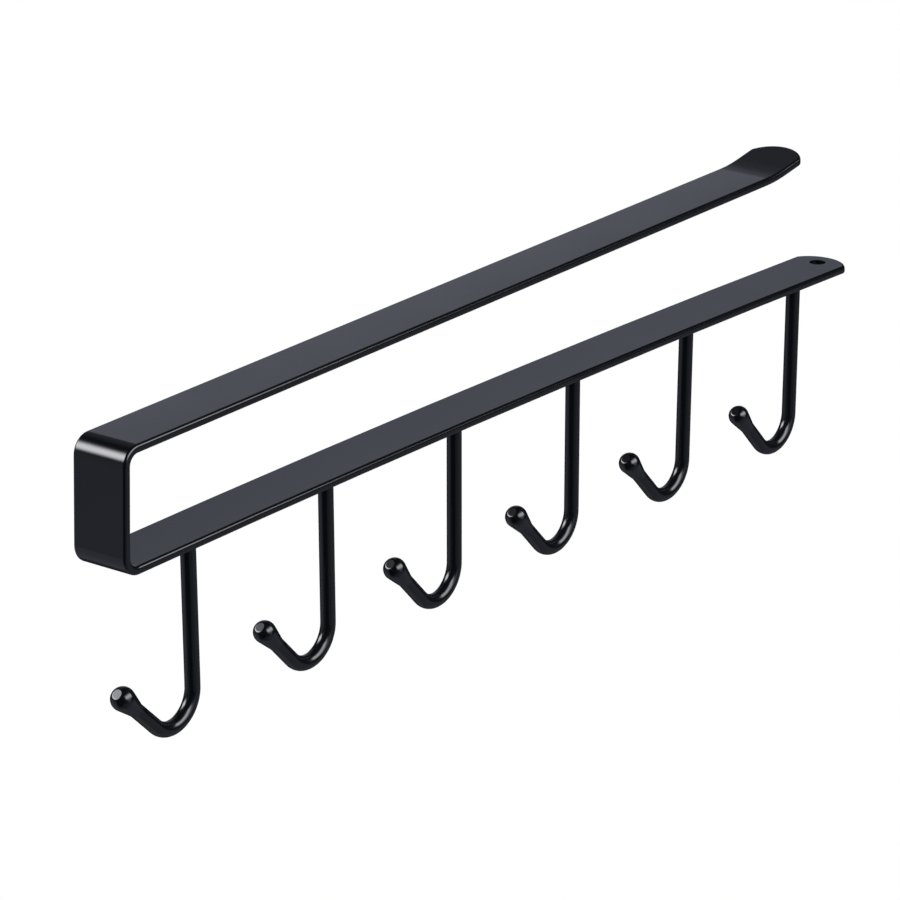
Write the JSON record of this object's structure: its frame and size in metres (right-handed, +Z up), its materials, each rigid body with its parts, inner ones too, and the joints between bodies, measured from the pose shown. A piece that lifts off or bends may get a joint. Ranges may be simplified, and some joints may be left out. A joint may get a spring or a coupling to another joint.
{
  "type": "mug rack",
  "caption": "Under-shelf mug rack: a flat strip bent to a long slot that clasps a board, with a row of J-shaped wire hooks that end in small balls.",
  "frame": {"origin": "middle of the web's inner face, against which the edge of the board stops", "axes": "+X along the arms from the web to the open end, +Y across the strip, +Z up towards the upper arm"},
  "size_m": [0.2989, 0.016, 0.0863],
  "materials": {
    "powder_coat": "satin black powder coat on steel"
  },
  "bodies": {
    "root": {"bent_strip": "powder_coat", "hook_1": "powder_coat", "hook_2": "powder_coat", "hook_3": "powder_coat", "hook_4": "powder_coat", "hook_5": "powder_coat", "hook_6": "powder_coat"}
  },
  "joints": []
}
